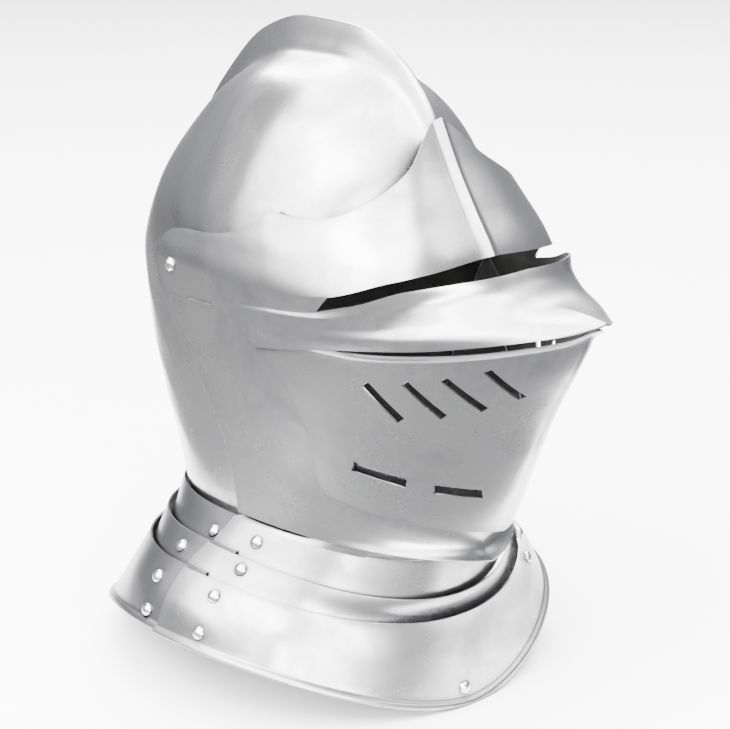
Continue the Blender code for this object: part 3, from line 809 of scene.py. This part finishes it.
lames = {}
for name, first_level, last_level, first_angle, last_angle, offset, body in LAMES:
    if last_level == RIM_LEVEL:
        flare = np.linspace(first_level, FLARE_END, FLARE_BANDS)
        levels = np.concatenate([flare, np.linspace(RIM_START, RIM_LEVEL, RIM_BANDS)])
        offsets = offset + curve(RIM_SWELL, levels)
    else:
        levels = np.linspace(first_level, last_level, HOOP_BANDS)
        offsets = np.full(HOOP_BANDS, float(offset))
    angles = np.radians(np.linspace(first_angle, last_angle, HOOP_COLUMNS))
    grid = ring_grid(levels, angles, offsets)
    if name == "front_lame_1":
        edge = BEVOR_ROWS[-1]
        tucked = tuple(
            (
                BEVOR_ROWS[NECK_ROW][0] + TUCK_GAP,
                edge[1] - TUCK_SETBACK,
                tuple(z + rise for z in edge[2]),
                BEVOR_EXPONENTS,
            )
            for rise in TUCK_RISES
        )
        around = np.linspace(0.0, 1.0, HOOP_COLUMNS)
        neck = face_grid(tucked, NECK_BANDS, around, BEVOR_INSET + TUCK_GAP)
        grid = np.concatenate([neck, grid], axis=0)
    # The rear lames take the darker steel: painted shade.
    bright = body == "bevor_body"
    lames[name] = sheet_metal(name + "_hoop", grid, bright_steel if bright else rear_shaded_steel)
    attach(lames[name], body)
    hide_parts(name)

# Rivets: domed steel heads along the lames' ends and one pair at the temples, on which visor, ventail
# and bevor turn. Each head is hammered round over a shank through the plates and polished with them, and
# its steel is painted paler than the plates' as a painted highlight, so the heads are the palest,
# sharpest spots on the helmet.

RIVET_RADIUS = 4.2
RIVET_HEIGHT = 2.9
RIVET_SINK = 0.15
HEAD_STEPS = 28
HEAD_MERGE = 0.00001
HEAD_PROFILE = (
    # radius, height of a head, from its top down to its rim
    (0.0, 1.0),
    (0.24, 0.97),
    (0.47, 0.88),
    (0.68, 0.72),
    (0.84, 0.52),
    (0.94, 0.3),
    (1.0, 0.08),
    (1.0, -0.1),
)
# Paler than the plates' steel: a painted highlight on the domes.
highlighted_rivet_steel = polished_steel("rivet_steel_painted_highlight", "#dededf", "#8e8e90", 0.22, 0.36)


def head_mesh():
    """One domed head about z, closed underneath."""
    built = bmesh.new()
    profile = HEAD_PROFILE + ((0.0, HEAD_PROFILE[-1][1]),)
    places = [(r * RIVET_RADIUS * MM, 0, h * RIVET_HEIGHT * MM) for r, h in profile]
    vertices = [built.verts.new(place) for place in places]
    edges = [built.edges.new(pair) for pair in zip(vertices, vertices[1:])]
    bmesh.ops.spin(
        built,
        geom=vertices + edges,
        axis=(0, 0, 1),
        cent=(0, 0, 0),
        dvec=(0, 0, 0),
        angle=2 * math.pi,
        steps=HEAD_STEPS,
        use_merge=True,
    )
    bmesh.ops.remove_doubles(built, verts=built.verts, dist=HEAD_MERGE)
    bmesh.ops.recalc_face_normals(built, faces=built.faces)
    mesh = bpy.data.meshes.new("rivet_head")
    built.to_mesh(mesh)
    built.free()
    mesh.shade_smooth()
    return mesh


def rivet_tree(head):
    """Geometry Nodes that stand a head on every point, along its outward direction."""
    tree = bpy.data.node_groups.new("stand_rivets", "GeometryNodeTree")
    tree.interface.new_socket("Geometry", in_out="INPUT", socket_type="NodeSocketGeometry")
    tree.interface.new_socket("Head Scale", in_out="INPUT", socket_type="NodeSocketFloat")
    tree.interface.new_socket("Geometry", in_out="OUTPUT", socket_type="NodeSocketGeometry")
    entry = add_node(tree, "NodeGroupInput")
    source = add_node(tree, "GeometryNodeObjectInfo", inputs={"Object": head})
    outward = add_node(
        tree,
        "GeometryNodeInputNamedAttribute",
        settings={"data_type": "FLOAT_VECTOR"},
        inputs={"Name": "outward"},
    )
    turn = add_node(
        tree,
        "FunctionNodeAlignRotationToVector",
        settings={"axis": "Z"},
        links={"Vector": outward.outputs["Attribute"]},
    )
    stood = add_node(
        tree,
        "GeometryNodeInstanceOnPoints",
        links={
            "Points": entry.outputs["Geometry"],
            "Instance": source.outputs["Geometry"],
            "Rotation": turn.outputs["Rotation"],
            "Scale": entry.outputs["Head Scale"],
        },
    )
    real = add_node(tree, "GeometryNodeRealizeInstances", links={"Geometry": stood.outputs["Instances"]})
    dressed = add_node(
        tree,
        "GeometryNodeSetMaterial",
        inputs={"Material": highlighted_rivet_steel},
        links={"Geometry": real.outputs["Geometry"]},
    )
    add_node(tree, "NodeGroupOutput", links={"Geometry": dressed.outputs["Geometry"]})
    return tree


def surface_of(piece):
    """A ray-casting tree of a finished piece."""
    built = bmesh.new()
    built.from_mesh(piece.data)
    tree = BVHTree.FromBMesh(built)
    built.free()
    return tree


head_object = bpy.data.objects.new("rivet_head", head_mesh())
bpy.context.scene.collection.objects.link(head_object)
stand_rivets = rivet_tree(head_object)
surfaces = {name: surface_of(piece) for name, piece in lames.items()}
surfaces["pivot"] = surface_of(visor)
for body, name in (("bevor_body", "front_rivets"), ("skull_body", "rear_rivets")):
    nodes = sorted(n for n in frame["nodes"] if "rivet" in n and frame["nodes"][n]["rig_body"] == body)
    places = []
    outwards = []
    for node in nodes:
        low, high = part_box(node)
        carrier = next(key for key in surfaces if node.startswith(key))
        side = 1.0 if node.endswith("left") else -1.0
        if carrier == "pivot":
            start = Vector((side * (high.x if side > 0 else -low.x), HINGE.y, HINGE.z))
        else:
            start = (low + high) / 2
        spot, facing = surfaces[carrier].find_nearest(start)[:2]
        if facing.dot(spot - Vector((0.0, HINGE.y - CORE_SETBACK * MM, spot.z))) < 0:
            facing = -facing
        places.append(spot - facing * RIVET_SINK * MM)
        outwards.append(facing)
    points = bpy.data.meshes.new(name)
    points.from_pydata(places, [], [])
    facing_mark = points.attributes.new("outward", "FLOAT_VECTOR", "POINT")
    facing_mark.data.foreach_set("vector", [c for v in outwards for c in v])
    rivets = bpy.data.objects.new(name, points)
    bpy.context.scene.collection.objects.link(rivets)
    modifier = rivets.modifiers.new("rivets", "NODES")
    modifier.node_group = stand_rivets
    entries = [item for item in stand_rivets.interface.items_tree if item.in_out == "INPUT"]
    sockets = {item.name: item.identifier for item in entries}
    modifier[sockets["Head Scale"]] = 1.0
    settled(rivets)
    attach(rivets, body)
    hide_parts(*nodes)
bpy.data.objects.remove(head_object, do_unlink=True)

# Studio: a sheet of white paper under and behind the helmet, on a dark studio floor that the upright
# plates mirror as mid grey. A wide soft box hangs overhead, with one at the right, a low one in front for
# the neck lames and the prow, a weak one at the left front and one behind that lights the paper.

CAMERA_TARGET = Vector((0.0146, 0.0164, 0.1756))
CAMERA_AZIMUTH = math.radians(-42)
CAMERA_HEIGHT = math.radians(17.5)
CAMERA_DISTANCE = 1.35
CAMERA_LENS = 111.85
CAMERA_SENSOR = 36.0
FLOORS = (
    # name, nearest edge behind the helmet's middle, half width there, the same at the far edge, height,
    # colour, roughness
    ("paper_sheet", -0.14, 0.24, 3.6, 0.95, 0.0, "#fafafa", 0.9),
    ("studio_floor", -9.0, 9.0, 9.0, 9.0, -0.0006, "#3c3c3c", 0.8),
)
for name, near, near_half, far, far_half, height, colour, rough in FLOORS:
    floor_mesh = bpy.data.meshes.new(name)
    corners = ((-near_half, near), (near_half, near), (far_half, far), (-far_half, far))
    floor_mesh.from_pydata([(x, y, height) for x, y in corners], [], [(0, 1, 2, 3)])
    floor_mesh.transform(Matrix.Rotation(CAMERA_AZIMUTH, 4, "Z"))
    floor = bpy.data.objects.new(name, floor_mesh)
    bpy.context.scene.collection.objects.link(floor)
    paint = bpy.data.materials.new(name + "_surface")
    paint.use_nodes = True
    paint_shader = paint.node_tree.nodes["Principled BSDF"]
    paint_shader.inputs["Base Color"].default_value = linear(colour)
    paint_shader.inputs["Roughness"].default_value = rough
    floor_mesh.materials.append(paint)

world = bpy.data.worlds.new("studio")
world.use_nodes = True
sky = world.node_tree.nodes["Background"]
sky.inputs["Color"].default_value = linear("#f2f3f5")
sky.inputs["Strength"].default_value = 0.55
bpy.context.scene.world = world

LIGHTS = (
    # name, azimuth, elevation, distance, width, height, watts
    ("overhead", -55, 72, 1.7, 2.4, 2.5, 335),
    ("right_side", -96, 36, 1.6, 1.9, 1.3, 105),
    ("front", -28, 15, 2.7, 2.7, 1.0, 240),
    ("left_front", 48, 50, 2.0, 1.0, 1.1, 24),
    ("backdrop", 138, 50, 2.8, 2.6, 1.4, 350),
)


def aim(item, azimuth, elevation, distance):
    """Put a lamp or camera round the target, at angles in radians, and point it at the target."""
    level = math.cos(elevation)
    back = Vector((math.sin(azimuth) * level, -math.cos(azimuth) * level, math.sin(elevation)))
    item.location = CAMERA_TARGET + back * distance
    item.rotation_euler = (math.pi / 2 - elevation, 0.0, azimuth)
    bpy.context.scene.collection.objects.link(item)


for name, azimuth, elevation, distance, wide, tall, watts in LIGHTS:
    lamp = bpy.data.lights.new(name, "AREA")
    lamp.shape = "RECTANGLE"
    lamp.size = wide
    lamp.size_y = tall
    lamp.energy = watts
    light = bpy.data.objects.new(name, lamp)
    aim(light, math.radians(azimuth), math.radians(elevation), distance)

camera_data = bpy.data.cameras.new("camera")
camera_data.lens = CAMERA_LENS
camera_data.sensor_width = CAMERA_SENSOR
camera = bpy.data.objects.new("camera", camera_data)
aim(camera, CAMERA_AZIMUTH, CAMERA_HEIGHT, CAMERA_DISTANCE)
bpy.context.scene.camera = camera
